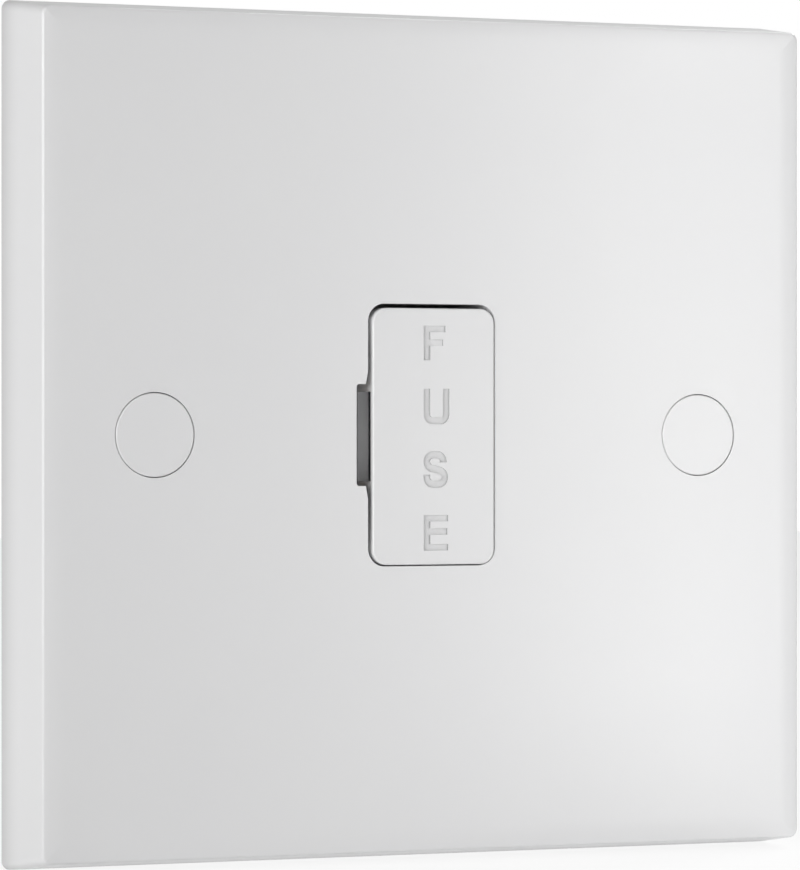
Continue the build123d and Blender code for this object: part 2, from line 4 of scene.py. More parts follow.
import bmesh
import bpy
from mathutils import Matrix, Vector


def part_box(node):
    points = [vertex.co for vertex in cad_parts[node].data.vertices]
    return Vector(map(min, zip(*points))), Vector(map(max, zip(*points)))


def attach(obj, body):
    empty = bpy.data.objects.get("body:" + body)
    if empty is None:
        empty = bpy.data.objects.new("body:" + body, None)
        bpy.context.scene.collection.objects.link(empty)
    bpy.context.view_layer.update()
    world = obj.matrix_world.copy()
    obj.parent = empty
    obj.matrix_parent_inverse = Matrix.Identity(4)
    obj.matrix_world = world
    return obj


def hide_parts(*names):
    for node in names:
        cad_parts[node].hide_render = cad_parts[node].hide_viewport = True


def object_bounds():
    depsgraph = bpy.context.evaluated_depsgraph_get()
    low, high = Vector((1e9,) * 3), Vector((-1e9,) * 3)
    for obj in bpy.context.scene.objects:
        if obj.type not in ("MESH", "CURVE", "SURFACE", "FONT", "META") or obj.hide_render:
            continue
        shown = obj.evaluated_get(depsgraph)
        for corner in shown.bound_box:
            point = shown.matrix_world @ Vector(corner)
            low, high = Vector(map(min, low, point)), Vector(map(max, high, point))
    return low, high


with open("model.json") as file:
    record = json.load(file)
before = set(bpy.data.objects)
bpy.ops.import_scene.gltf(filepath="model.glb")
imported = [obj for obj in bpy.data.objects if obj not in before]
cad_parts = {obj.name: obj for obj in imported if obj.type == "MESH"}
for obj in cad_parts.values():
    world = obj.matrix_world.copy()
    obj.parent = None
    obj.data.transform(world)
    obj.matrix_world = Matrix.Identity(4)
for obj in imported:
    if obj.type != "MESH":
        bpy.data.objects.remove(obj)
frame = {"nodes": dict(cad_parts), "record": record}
cad_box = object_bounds()

# All sizes here are in millimetres, and MM turns them into the frame's metres.
# X runs to the right, Y into the wall and Z up. The front faces -Y.
MM = 0.001

# Camera, fitted to the plate's outline and the two caps
CAMERA_PLACE = (-213.24, -467.99, 0.0)
CAMERA_TURN = -24.525        # degrees from looking straight at the wall, negative to the right
CAMERA_LENS = 207.89
CAMERA_FRAME = 36.0          # longer side of the picture behind the lens
CAMERA_NEAR = 10.0           # nothing nearer than this is drawn

# Stage
FLOOR_SIZE = 3000.0
FLOOR_DROP = 0.02            # floor under the plate's lower edge
FLOOR_WHITE = 0.88           # strength of its white to the camera and in reflections
FLOOR_LIGHT = 0.12           # strength of the light that the floor gives the object
WORLD_LIGHT = 0.08           # strength of the light from all round
WORLD_MIRRORED = 0.6         # its strength in reflections

# White urea: its darker and lighter tint, and the two finishes that a mould gives it
WHITE = ("#EFEFF0", "#F2F2F2")
POLISHED = {"smoothest": 0.27, "roughest": 0.33, "ripple_size": 0.9, "ripple_depth": 0.006}
ETCHED = {"smoothest": 0.8, "roughest": 0.95, "ripple_size": 0.15, "ripple_depth": 0.02}

# Painted shade on the faceplate where it meets the wall
WALL_SHADE_REACH = 4.0             # from the wall plane towards the front
WALL_SHADE_CURVE = 1.9             # how fast it fades, 1 for evenly
WALL_SHADE_COLOUR = "#D4D4D4"

# Border of the faceplate's front, which is shaded as if it fell away further than its mesh does
BORDER_START = 39.7          # from the middle of the plate
BORDER_END = 41.9
BORDER_FALL = 0.1            # added to the mesh's own fall
BORDER_CURVE = 2.0           # how it falls, 1 for evenly

# Letters sunk into the carrier's face, with their lefts along X and their levels along Z
LETTER_DEPTH = 0.18
LETTER_OVERRUN = 0.4         # cutters start this far in front of the face
LETTER_LEFT = -1.15
STEM_PEN = 0.72
BAR_PEN = 0.64
TURN_STEPS = 10              # straight pieces in each bend of a stroke

F_TOP = 11.01
F_FOOT = 7.53
F_ARM = 2.4
F_TONGUE = 2.15
F_TONGUE_LEVEL = 9.3

U_PEN = 0.71
U_TOP = 4.65
U_FOOT = 1.09
U_WIDTH = 2.84
U_BEND = 0.62

S_PEN = 0.75
S_TOP = -1.62
S_OVERHANG = 0.04            # this round letter reaches past the left of the others
S_BEND = 0.684
S_SLOPE = 15                 # degrees by which its spine falls to the right
S_SPINE = 1.011
S_UPPER = 0.46               # level run at its top
S_LOWER = 0.62               # level run at its foot
S_UPPER_TAIL = 0.075
S_LOWER_TAIL = 0.26

E_TOP = -8.07
E_FOOT = -11.64
E_ARM = 2.7
E_TONGUE = 2.61
E_TONGUE_RISE = 0.13         # above the letter's middle

# Marks raised on the back of the rear housing
MARK_PROUD = 0.3
MARK_ROOT = 0.2              # they start this far inside the housing
SIGN_HEIGHT = 2.5            # of the signs beside the terminal screws
SIGN_OFFSET = 4.85           # from a screw's axis towards the valley between the rows
WORD_HEIGHT = 3.2            # of the words in the valley
WORD_PITCH = 7.0             # from one line of words to the next
VALLEY_BACK = 3.3            # Y of the valley's floor
SIGNS = {"line": ["L"], "neutral": ["N"], "earth": ["earth"]}
LINES = ("LOAD", "13A", "FEED")

# Pen strokes of the raised letters, in letter heights from the letter's lower left corner
MARK_PEN = 0.16
EDGE = MARK_PEN / 2
TOP = 1 - EDGE
BEND = 0.25
SMALL_BEND = (1 - MARK_PEN) / 4
LETTER_WIDTH = 0.65
LETTER_STEP = 1.0            # from one letter to the next
STEM = ((EDGE, 1), -90, [("run", 1)])
UPPER_ARM = ((EDGE, TOP), 0, [("run", 0.5)])
MIDDLE_ARM = ((EDGE, 0.5), 0, [("run", 0.42)])
LOWER_ARM = ((EDGE, EDGE), 0, [("run", 0.5)])
O_SIDE = TOP - 0.5 - BEND
LETTERS = {
    "A": [
        ((0.08, 0.02), 75, [("run", 0.98)]),
        ((0.59, 0.02), 105, [("run", 0.98)]),
        ((0.2, 0.3), 0, [("run", 0.27)]),
    ],
    "D": [
        STEM,
        (
            (EDGE, TOP), 0,
            [("run", 0.2), ("turn", BEND, -90), ("run", 2 * O_SIDE), ("turn", BEND, -90), ("run", 0.2)],
        ),
    ],
    "E": [STEM, UPPER_ARM, MIDDLE_ARM, LOWER_ARM],
    "F": [STEM, UPPER_ARM, MIDDLE_ARM],
    "L": [STEM, LOWER_ARM],
    "N": [STEM, ((LETTER_WIDTH - EDGE, 1), -90, [("run", 1)]), ((0.12, 0.92), -64, [("run", 0.93)])],
    "O": [
        (
            (EDGE, 0.5), -90,
            [("run", O_SIDE), ("turn", BEND, 180), ("run", 2 * O_SIDE), ("turn", BEND, 180), ("run", O_SIDE)],
        )
    ],
    "1": [((0.36, 1), -90, [("run", 1)]), ((0.34, 0.92), -145, [("run", 0.25)])],
    "3": [
        ((0.12, TOP), 0, [("run", 0.22), ("turn", SMALL_BEND, -180), ("run", 0.02)]),
        ((0.3, 0.5), 0, [("run", 0.04), ("turn", SMALL_BEND, -180), ("run", 0.22)]),
    ],
    "earth": [
        ((LETTER_WIDTH / 2, 1), -90, [("run", 0.5)]),
        ((0, 0.55), 0, [("run", LETTER_WIDTH)]),
        ((0.12, 0.31), 0, [("run", LETTER_WIDTH - 0.24)]),
        ((0.24, EDGE), 0, [("run", LETTER_WIDTH - 0.48)]),
    ],
}

# Thread of the fixing screws
THREAD_START = -0.4          # Y, a little inside the plain part of the shank
THREAD_PITCH = 0.6
THREAD_CREST = 1.74
THREAD_ROOT = 1.36
THREAD_TIP = 0.5             # chamfer of the end
THREAD_STEPS = 28            # round one turn
CREST_FLAT = 0.1
RIDGE_ROOT = 0.1             # the ridge starts this far inside the core

# Repair of meshes
CAD_WELD = 0.002             # vertices of a CAD mesh nearer than this are joined
WELD = 0.0005                # the same for new pieces
SLIVER = 0.001               # edges shorter than this are cleared away after a cut or a join


def srgb(colour):
    """Linear colour of a six-figure sRGB hex value."""
    parts = [int(colour[i:i + 2], 16) / 255 for i in (1, 3, 5)]
    linear = [p / 12.92 if p <= 0.04045 else ((p + 0.055) / 1.055) ** 2.4 for p in parts]
    return (*linear, 1.0)


def every(size):
    """Texture scale at which a pattern repeats about every so many millimetres."""
    return 1 / (size * MM)


def add(tree, kind, inputs=None, **settings):
    """Adds a node, sets its own properties, and gives its inputs a value or a link."""
    node = tree.nodes.new(kind)
    for name, value in settings.items():
        setattr(node, name, value)
    for key, value in (inputs or {}).items():
        if isinstance(value, bpy.types.NodeSocket):
            tree.links.new(value, node.inputs[key])
        else:
            node.inputs[key].default_value = value
    return node


def start_material(name):
    """Empty material with its node tree and its Object coordinates."""
    material = bpy.data.materials.new(name)
    material.use_nodes = True
    tree = material.node_tree
    tree.nodes.clear()
    place = add(tree, "ShaderNodeTexCoord").outputs["Object"]
    return material, tree, place


def end_material(tree, **inputs):
    """Principled shader with these inputs, joined to the material's output."""
    named = {name.replace("_", " "): value for name, value in inputs.items()}
    shader = add(tree, "ShaderNodeBsdfPrincipled", named)
    add(tree, "ShaderNodeOutputMaterial", {"Surface": shader.outputs["BSDF"]})


def shaded_near_wall(tree, place, unshaded):
    """A colour with painted shade that greys it over the last few millimetres in front of the wall plane."""
    depth = add(tree, "ShaderNodeSeparateXYZ", {"Vector": place}).outputs["Y"]
    near = add(
        tree, "ShaderNodeMapRange", {"Value": depth, "From Min": -WALL_SHADE_REACH * MM, "From Max": 0.0}
    )
    share = add(tree, "ShaderNodeMath", {0: near.outputs["Result"], 1: WALL_SHADE_CURVE}, operation="POWER")
    painted_shade = add(
        tree, "ShaderNodeMix", {0: share.outputs[0], 6: unshaded, 7: srgb(WALL_SHADE_COLOUR)}, data_type="RGBA"
    )
    return painted_shade.outputs[2]


def fallen_border(tree, place, ripple):
    """Rippled normal that also leans outwards along the four edges of the plate's front."""
    parts = add(tree, "ShaderNodeSeparateXYZ", {"Vector": place}).outputs
    across = add(tree, "ShaderNodeMath", {0: parts["X"]}, operation="ABSOLUTE")
    upwards = add(tree, "ShaderNodeMath", {0: parts["Z"]}, operation="ABSOLUTE")
    reach = add(
        tree, "ShaderNodeMath", {0: across.outputs[0], 1: upwards.outputs[0]}, operation="MAXIMUM"
    )
    near = add(
        tree,
        "ShaderNodeMapRange",
        {"Value": reach.outputs[0], "From Min": BORDER_START * MM, "From Max": BORDER_END * MM},
    )
    fall = add(tree, "ShaderNodeMath", {0: near.outputs["Result"], 1: BORDER_CURVE}, operation="POWER")
    leaning = add(
        tree,
        "ShaderNodeBump",
        {"Height": fall.outputs[0], "Distance": BORDER_FALL * MM, "Strength": 1.0, "Normal": ripple},
        invert=True,
    )
    return leaning.outputs["Normal"]


def urea(name, darker, lighter, smoothest, roughest, ripple_size, ripple_depth, wall_plate=False):
    """Compression-moulded urea: a dense, almost even cold white, with the finish of its mould.

    That of a wall plate also gets painted shade near the wall and falls away along its border.
    """
    material, tree, place = start_material(name)
    cloud = add(tree, "ShaderNodeTexNoise", {"Vector": place, "Scale": every(22), "Detail": 2.0})
    tint = add(
        tree,
        "ShaderNodeMix",
        {0: cloud.outputs["Fac"], 6: srgb(darker), 7: srgb(lighter)},
        data_type="RGBA",
    )
    polish = add(tree, "ShaderNodeTexNoise", {"Vector": place, "Scale": every(9), "Detail": 3.0})
    gloss = add(
        tree,
        "ShaderNodeMapRange",
        {"Value": polish.outputs["Fac"], "To Min": smoothest, "To Max": roughest},
    )
    ripple = add(
        tree, "ShaderNodeTexNoise", {"Vector": place, "Scale": every(ripple_size), "Detail": 2.0}
    )
    bump = add(
        tree,
        "ShaderNodeBump",
        {"Height": ripple.outputs["Fac"], "Distance": ripple_depth * MM, "Strength": 0.35},
    )
    colour = tint.outputs[2]
    normal = bump.outputs["Normal"]
    if wall_plate:
        # painted shade: the plate's sides grey towards the wall plane
        colour = shaded_near_wall(tree, place, colour)
        normal = fallen_border(tree, place, normal)
    end_material(tree, Base_Color=colour, Roughness=gloss.outputs["Result"], Normal=normal, IOR=1.55)
    return material


def moulded_urea():
    """Urea off a polished mould: the eye gets a soft sheen and the faint ripple of the polish."""
    return urea("moulded_urea", *WHITE, **POLISHED)


def faceplate_urea():
    """The same urea on the plate: painted shade darkens its sides softly towards the wall, and its border is
    rounder.
    """
    return urea("faceplate_urea", *WHITE, **POLISHED, wall_plate=True)


def etched_shaded_urea():
    """Urea off an etched part of the mould: its grain loses the sheen, and its tint is a little greyer as
    painted shade.
    """
    return urea("etched_shaded_urea", "#EAEAEB", "#EDEDED", **ETCHED)


def shaded_wall_urea():
    """Urea for the letters' steep walls, painted dark grey as shade: the eye gets a thin grey line along
    them.
    """
    return urea("shaded_wall_urea", "#B2B2B3", "#BBBBBB", **ETCHED)


def moulded_nylon():
    """Injection-moulded nylon: a greyer, duller white with the fine grain of a spark-eroded mould."""
    material, tree, place = start_material("moulded_nylon")
    cloud = add(tree, "ShaderNodeTexNoise", {"Vector": place, "Scale": every(16), "Detail": 3.0})
    tint = add(
        tree,
        "ShaderNodeMix",
        {0: cloud.outputs["Fac"], 6: srgb("#DDDDD8"), 7: srgb("#E7E7E3")},
        data_type="RGBA",
    )
    grain = add(tree, "ShaderNodeTexNoise", {"Vector": place, "Scale": every(0.22), "Detail": 2.0})
    gloss = add(
        tree, "ShaderNodeMapRange", {"Value": grain.outputs["Fac"], "To Min": 0.5, "To Max": 0.66}
    )
    bump = add(
        tree,
        "ShaderNodeBump",
        {"Height": grain.outputs["Fac"], "Distance": 0.02 * MM, "Strength": 0.5},
    )
    end_material(
        tree,
        Base_Color=tint.outputs[2],
        Roughness=gloss.outputs["Result"],
        Normal=bump.outputs["Normal"],
        IOR=1.53,
    )
    return material


def machined_brass():
    """Free-cutting brass bar, sawn and drilled: yellow metal with fine tool marks and dull patches."""
    material, tree, place = start_material("machined_brass")
    tarnish = add(tree, "ShaderNodeTexNoise", {"Vector": place, "Scale": every(3.5), "Detail": 4.0})
    tint = add(
        tree,
        "ShaderNodeMix",
        {0: tarnish.outputs["Fac"], 6: srgb("#B98F45"), 7: srgb("#DDBB6C")},
        data_type="RGBA",
    )
    stretched = add(tree, "ShaderNodeMapping", {"Vector": place, "Scale": (1.0, 14.0, 1.0)})
    marks = add(
        tree,
        "ShaderNodeTexNoise",
        {"Vector": stretched.outputs["Vector"], "Scale": every(1.6), "Detail": 3.0},
    )
    gloss = add(
        tree, "ShaderNodeMapRange", {"Value": marks.outputs["Fac"], "To Min": 0.2, "To Max": 0.42}
    )
    bump = add(
        tree,
        "ShaderNodeBump",
        {"Height": marks.outputs["Fac"], "Distance": 0.01 * MM, "Strength": 0.4},
    )
    end_material(
        tree,
        Base_Color=tint.outputs[2],
        Roughness=gloss.outputs["Result"],
        Normal=bump.outputs["Normal"],
        Metallic=1.0,
    )
    return material


def rolled_bronze():
    """Rolled phosphor bronze strip: pinkish metal with long faint lines from the rolls."""
    material, tree, place = start_material("rolled_bronze")
    lengthwise = add(tree, "ShaderNodeMapping", {"Vector": place, "Scale": (9.0, 9.0, 0.5)})
    lines = add(
        tree,
        "ShaderNodeTexNoise",
        {"Vector": lengthwise.outputs["Vector"], "Scale": every(2.4), "Detail": 4.0},
    )
    tint = add(
        tree,
        "ShaderNodeMix",
        {0: lines.outputs["Fac"], 6: srgb("#B07F57"), 7: srgb("#D6A97E")},
        data_type="RGBA",
    )
    gloss = add(
        tree, "ShaderNodeMapRange", {"Value": lines.outputs["Fac"], "To Min": 0.24, "To Max": 0.4}
    )
    end_material(tree, Base_Color=tint.outputs[2], Roughness=gloss.outputs["Result"], Metallic=1.0)
    return material


def zinc_plate():
    """Bright zinc plating on steel: cool grey with the faint blue and straw tints of its passivation."""
    material, tree, place = start_material("zinc_plate")
    film = add(tree, "ShaderNodeTexNoise", {"Vector": place, "Scale": every(4), "Detail": 2.0})
    tint = add(
        tree,
        "ShaderNodeMix",
        {0: film.outputs["Fac"], 6: srgb("#B9BEC8"), 7: srgb("#CFCBBE")},
        data_type="RGBA",
    )
    spangle = add(tree, "ShaderNodeTexNoise", {"Vector": place, "Scale": every(0.5), "Detail": 2.0})
    gloss = add(
        tree, "ShaderNodeMapRange", {"Value": spangle.outputs["Fac"], "To Min": 0.22, "To Max": 0.38}
    )
    end_material(tree, Base_Color=tint.outputs[2], Roughness=gloss.outputs["Result"], Metallic=1.0)
    return material


def glazed_steatite():
    """Steatite tube under a thin glaze: a warm white with tiny dark specks and a wet gloss."""
    material, tree, place = start_material("glazed_steatite")
    specks = add(tree, "ShaderNodeTexVoronoi", {"Vector": place, "Scale": every(0.8)})
    fleck = add(
        tree,
        "ShaderNodeMapRange",
        {"Value": specks.outputs["Distance"], "From Min": 0.06, "From Max": 0.14},
    )
    tint = add(
        tree,
        "ShaderNodeMix",
        {0: fleck.outputs["Result"], 6: srgb("#CFC7B4"), 7: srgb("#EEEADF")},
        data_type="RGBA",
    )
    end_material(tree, Base_Color=tint.outputs[2], Roughness=0.22, IOR=1.55)
    return material


def nickel_plate():
    """Nickel-plated drawn cap: a warm silver with fine rings left by the drawing die."""
    material, tree, place = start_material("nickel_plate")
    squeezed = add(tree, "ShaderNodeMapping", {"Vector": place, "Scale": (0.4, 0.4, 12.0)})
    rings = add(
        tree,
        "ShaderNodeTexNoise",
        {"Vector": squeezed.outputs["Vector"], "Scale": every(2.5), "Detail": 3.0},
    )
    tint = add(
        tree,
        "ShaderNodeMix",
        {0: rings.outputs["Fac"], 6: srgb("#C2BCB0"), 7: srgb("#DDD9D0")},
        data_type="RGBA",
    )
    gloss = add(
        tree, "ShaderNodeMapRange", {"Value": rings.outputs["Fac"], "To Min": 0.16, "To Max": 0.3}
    )
    end_material(tree, Base_Color=tint.outputs[2], Roughness=gloss.outputs["Result"], Metallic=1.0)
    return material


def finish_of_each_slot():
    """One material for each of the record's slots."""
    return {
        "white_moulding": moulded_urea(),
        "housing_moulding": moulded_nylon(),
        "terminal_brass": machined_brass(),
        "contact_alloy": rolled_bronze(),
        "zinc_steel": zinc_plate(),
        "fuse_ceramic": glazed_steatite(),
        "fuse_cap_metal": nickel_plate(),
    }


def finish_cad_nodes():
    """Gives every CAD node the material of its slot, and the faceplate its own kind of that."""
    for entry in frame["record"]["subparts"]:
        mesh = frame["nodes"][entry["node"]].data
        mesh.materials.clear()
        mesh.materials.append(FINISHES[entry["material_slot"]])
    frame["nodes"]["faceplate"].data.materials[0] = faceplate_urea()


def new_piece(name, solid, body, slot):
    """Object made from a bmesh, riding on a body and finished as one of the record's slots."""
    mesh = bpy.data.meshes.new(name)
    solid.to_mesh(mesh)
    solid.free()
    piece = bpy.data.objects.new(name, mesh)
    bpy.context.scene.collection.objects.link(piece)
    mesh.materials.append(FINISHES[slot])
    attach(piece, body)
    return piece


def welded_copy(node):
    """Bmesh of a CAD node with its loose triangles joined."""
    solid = bmesh.new()
    solid.from_mesh(frame["nodes"][node].data)
    bmesh.ops.remove_doubles(solid, verts=solid.verts, dist=CAD_WELD * MM)
    return solid


def shade_round(piece, crease):
    """Smooth shading that keeps edges sharper than a crease in degrees and leaves large faces flat."""
    piece.data.shade_smooth()
    piece.data.set_sharp_from_angle(angle=math.radians(crease))
    normals = piece.modifiers.new("even_faces", "WEIGHTED_NORMAL")
    normals.keep_sharp = True


def combine(piece, tool, operation):
    """Joins a tool to a piece or cuts it out, merging strokes that overlap, and removes the tool."""
    change = piece.modifiers.new("combine", "BOOLEAN")
    change.object = tool
    change.operation = operation
    change.solver = "EXACT"
    change.use_self = True
    change.material_mode = "TRANSFER"
    bpy.context.view_layer.update()
    shaped = piece.evaluated_get(bpy.context.evaluated_depsgraph_get())
    piece.data = bpy.data.meshes.new_from_object(shaped)
    piece.modifiers.clear()
    bpy.data.objects.remove(tool)
    solid = bmesh.new()
    solid.from_mesh(piece.data)
    bmesh.ops.dissolve_degenerate(solid, dist=SLIVER * MM, edges=solid.edges)
    solid.to_mesh(piece.data)
    solid.free()


def pen_stroke(solid, face, pen, start, heading, moves):
    """Draws a flat ribbon as seen from the front, with the Y of its face in metres.

    It starts at an (X, Z) place with a heading in degrees from +X. A move is ("run", length)
    or ("turn", radius, degrees), where a positive turn bends to the left.
    """
    angle = math.radians(heading)
    place = Vector((start[0] * MM, face, start[1] * MM))
    across = Vector((-math.sin(angle), 0, math.cos(angle))) * pen * MM / 2
    ends = [solid.verts.new(place + across), solid.verts.new(place - across)]
    leading = [solid.edges.new(ends)]
    for kind, size, *turn in moves:
        along = Vector((math.cos(angle), 0, math.sin(angle)))
        left = Vector((-math.sin(angle), 0, math.cos(angle)))
        if kind == "run":
            grown = bmesh.ops.extrude_edge_only(solid, edges=leading)["geom"]
            ends = [part for part in grown if isinstance(part, bmesh.types.BMVert)]
            bmesh.ops.translate(solid, verts=ends, vec=along * size * MM)
        else:
            bend = math.radians(turn[0])
            side = math.copysign(1, bend)
            middle = (ends[0].co + ends[1].co) / 2
            grown = bmesh.ops.spin(
                solid,
                geom=leading,
                cent=middle + left * side * size * MM,
                axis=(0, -1, 0),
                angle=bend,
                steps=TURN_STEPS,
            )["geom_last"]
            ends = [part for part in grown if isinstance(part, bmesh.types.BMVert)]
            angle += bend
        leading = [part for part in grown if isinstance(part, bmesh.types.BMEdge)]


def thicken(solid, depth):
    """Gives the ribbons in a bmesh a thickness along Y."""
    bmesh.ops.remove_doubles(solid, verts=solid.verts, dist=WELD * MM)
    grown = bmesh.ops.extrude_face_region(solid, geom=solid.faces[:])["geom"]
    moved = [part for part in grown if isinstance(part, bmesh.types.BMVert)]
    bmesh.ops.translate(solid, verts=moved, vec=(0, depth * MM, 0))
    bmesh.ops.recalc_face_normals(solid, faces=solid.faces)


def stem_with_bars(solid, face, top, foot, bars):
    """Upright stem with bars to its right, each given by the level of its middle and its length."""
    stem = LETTER_LEFT + STEM_PEN / 2
    pen_stroke(solid, face, STEM_PEN, (stem, top), -90, [("run", top - foot)])
    for level, length in bars:
        pen_stroke(solid, face, BAR_PEN, (stem, level), 0, [("run", length - STEM_PEN / 2)])


def letter_f(solid, face):
    """F with its lower bar shorter than its upper one."""
    bars = ((F_TOP - BAR_PEN / 2, F_ARM), (F_TONGUE_LEVEL, F_TONGUE))
    stem_with_bars(solid, face, F_TOP, F_FOOT, bars)


def letter_u(solid, face):
    """U in one stroke: down, across and up."""
    drop = U_TOP - U_FOOT - U_PEN / 2 - U_BEND
    across = U_WIDTH - U_PEN - 2 * U_BEND
    pen_stroke(
        solid, face, U_PEN, (LETTER_LEFT + U_PEN / 2, U_TOP), -90,
        [("run", drop), ("turn", U_BEND, 90), ("run", across), ("turn", U_BEND, 90), ("run", drop)],
    )


def letter_s(solid, face):
    """S in one stroke, from its upper tail to its lower one."""
    left = LETTER_LEFT - S_OVERHANG
    start = (left + S_PEN / 2 + 2 * S_BEND + S_UPPER, S_TOP - S_PEN / 2 - S_BEND - S_UPPER_TAIL)
    pen_stroke(
        solid, face, S_PEN, start, 90,
        [
            ("run", S_UPPER_TAIL), ("turn", S_BEND, 90), ("run", S_UPPER), ("turn", S_BEND, 180 - S_SLOPE),
            ("run", S_SPINE), ("turn", S_BEND, S_SLOPE - 180), ("run", S_LOWER), ("turn", S_BEND, -90),
            ("run", S_LOWER_TAIL),
        ],
    )


def letter_e(solid, face):
    """E with its middle bar a little shorter than the others."""
    tongue_level = (E_TOP + E_FOOT) / 2 + E_TONGUE_RISE
    bars = ((E_TOP - BAR_PEN / 2, E_ARM), (tongue_level, E_TONGUE), (E_FOOT + BAR_PEN / 2, E_ARM))
    stem_with_bars(solid, face, E_TOP, E_FOOT, bars)


def fuse_letters(face):
    """Cutter for the four letters down the carrier's face."""
    solid = bmesh.new()
    for letter in (letter_f, letter_u, letter_s, letter_e):
        letter(solid, face)
    thicken(solid, LETTER_OVERRUN + LETTER_DEPTH)
    return solid


def lettered_carrier():
    """The CAD carrier with the letters sunk into its face, their floors etched with a greyer tint as painted
    shade, and their walls painted dark grey as shade.
    """
    low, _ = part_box("fuse_carrier")
    piece = new_piece("lettered_carrier", welded_copy("fuse_carrier"), "carrier", "white_moulding")
    cutter = new_piece(
        "letter_cutter", fuse_letters(low.y - LETTER_OVERRUN * MM), "carrier", "white_moulding"
    )
    # the letters' floors get the etched finish and a greyer tint, which is painted shade
    cutter.data.materials[0] = etched_shaded_urea()
    # the letters' walls get a dark grey: painted shade
    cutter.data.materials.append(shaded_wall_urea())
    for side in cutter.data.polygons:
        is_wall = abs(side.normal.y) < 0.5
        side.material_index = int(is_wall)
    combine(piece, cutter, "DIFFERENCE")
    shade_round(piece, crease=32)
    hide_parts("fuse_carrier")


def write(solid, face, letters, middle, foot, height):
    """Draws letters in a row about a middle, each from its pen strokes."""
    left = middle - ((len(letters) - 1) * LETTER_STEP + LETTER_WIDTH) * height / 2
    for letter in letters:
        for (x, z), heading, moves in LETTERS[letter]:
            sized = [(kind, length * height, *turn) for kind, length, *turn in moves]
            start = (left + x * height, foot + z * height)
            pen_stroke(solid, face, MARK_PEN * height, start, heading, sized)
        left += LETTER_STEP * height


def raise_from_back(solid):
    """Turns what was drawn as seen from the front into raised marks that read from behind."""
    bmesh.ops.scale(solid, vec=(-1, 1, 1), verts=solid.verts)
    thicken(solid, MARK_ROOT + MARK_PROUD)
    return solid


def terminal_signs():
    """Sign of its conductor on the back of each terminal's tower, beside the screw."""
    solid = bmesh.new()
    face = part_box("rear_housing")[1].y - MARK_ROOT * MM
    for conductor, sign in SIGNS.items():
        for end in ("load", "supply"):
            low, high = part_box(f"{conductor}_{end}_screw")
            centre = (low + high) / 2 / MM
            level = centre.z - math.copysign(SIGN_OFFSET, centre.z)
            write(solid, face, sign, -centre.x, level - SIGN_HEIGHT / 2, SIGN_HEIGHT)
    return raise_from_back(solid)


def valley_words():
    """Words for the two rows and the fuse's rating, in the valley between the rows."""
    solid = bmesh.new()
    face = (VALLEY_BACK - MARK_ROOT) * MM
    for index, word in enumerate(LINES):
        level = (1 - index) * WORD_PITCH
        write(solid, face, word, 0, level - WORD_HEIGHT / 2, WORD_HEIGHT)
    return raise_from_back(solid)


def rear_marks():
    """Raised marks on the back of the rear housing."""
    piece = new_piece("rear_marks", terminal_signs(), "plate", "housing_moulding")
    words = new_piece("rear_words", valley_words(), "plate", "housing_moulding")
    combine(piece, words, "UNION")
    shade_round(piece, crease=32)


def points_beside_axis(solid, centre, places):
    """Vertices at these radii and depths beside an axis along Y through a centre in metres."""
    return [solid.verts.new(centre + Vector((radius * MM, depth * MM, 0))) for radius, depth in places]


def spin_core(solid, centre, start, end):
    """Plain core of a screw with a chamfered end."""
    profile = points_beside_axis(
        solid,
        centre,
        (
            (0, start), (THREAD_ROOT, start), (THREAD_ROOT, end - THREAD_TIP),
            (THREAD_ROOT - THREAD_TIP, end), (0, end),
        ),
    )
    edges = [solid.edges.new(pair) for pair in zip(profile, profile[1:])]
    bmesh.ops.spin(
        solid, geom=edges, cent=centre, axis=(0, 1, 0), angle=math.tau, steps=THREAD_STEPS, use_merge=True
    )


def wind_ridge(solid, centre, start, end):
    """Helical ridge round the core, from a section that turns and moves along at once."""
    inside = THREAD_ROOT - RIDGE_ROOT
    half_root = (THREAD_PITCH - CREST_FLAT) / 2
    half_crest = CREST_FLAT / 2
    middle = start + half_root
    section = points_beside_axis(
        solid,
        centre,
        (
            (inside, middle - half_root), (THREAD_CREST, middle - half_crest),
            (THREAD_CREST, middle + half_crest), (inside, middle + half_root),
        ),
    )
    loop = [solid.edges.new(pair) for pair in zip(section, section[1:] + section[:1])]
    turns = (end - start - THREAD_TIP) / THREAD_PITCH - 1
    steps = round(turns * THREAD_STEPS)
    bmesh.ops.spin(
        solid,
        geom=loop,
        cent=centre,
        axis=(0, 1, 0),
        dvec=(0, THREAD_PITCH * MM / THREAD_STEPS, 0),
        angle=math.tau * steps / THREAD_STEPS,
        steps=steps,
    )


def threaded_shank(centre, start, end):
    """Core and helical ridge of a screw along Y, as two closed shells in one bmesh."""
    solid = bmesh.new()
    spin_core(solid, centre, start, end)
    wind_ridge(solid, centre, start, end)
    bmesh.ops.remove_doubles(solid, verts=solid.verts, dist=WELD * MM)
    bmesh.ops.holes_fill(solid, edges=[edge for edge in solid.edges if edge.is_boundary], sides=4)
    bmesh.ops.recalc_face_normals(solid, faces=solid.faces)
    return solid


def threaded_fixing_screw(side):
    """A fixing screw with its head as in the CAD and a real thread behind the wall plane."""
    node = f"fixing_screw_{side}"
    low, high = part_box(node)
    solid = welded_copy(node)
    everything = solid.verts[:] + solid.edges[:] + solid.faces[:]
    bmesh.ops.bisect_plane(solid, geom=everything, plane_co=(0, 0, 0), plane_no=(0, 1, 0), clear_outer=True)
    bmesh.ops.holes_fill(solid, edges=[edge for edge in solid.edges if edge.is_boundary])
    centre = Vector(((low.x + high.x) / 2, 0, 0))
    shank = threaded_shank(centre, THREAD_START, high.y / MM)
    spare = bpy.data.meshes.new("shank")
    shank.to_mesh(spare)
    shank.free()
    solid.from_mesh(spare)
    bpy.data.meshes.remove(spare)
    piece = new_piece(f"threaded_{node}", solid, "plate", "zinc_steel")
    shade_round(piece, crease=40)
    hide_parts(node)


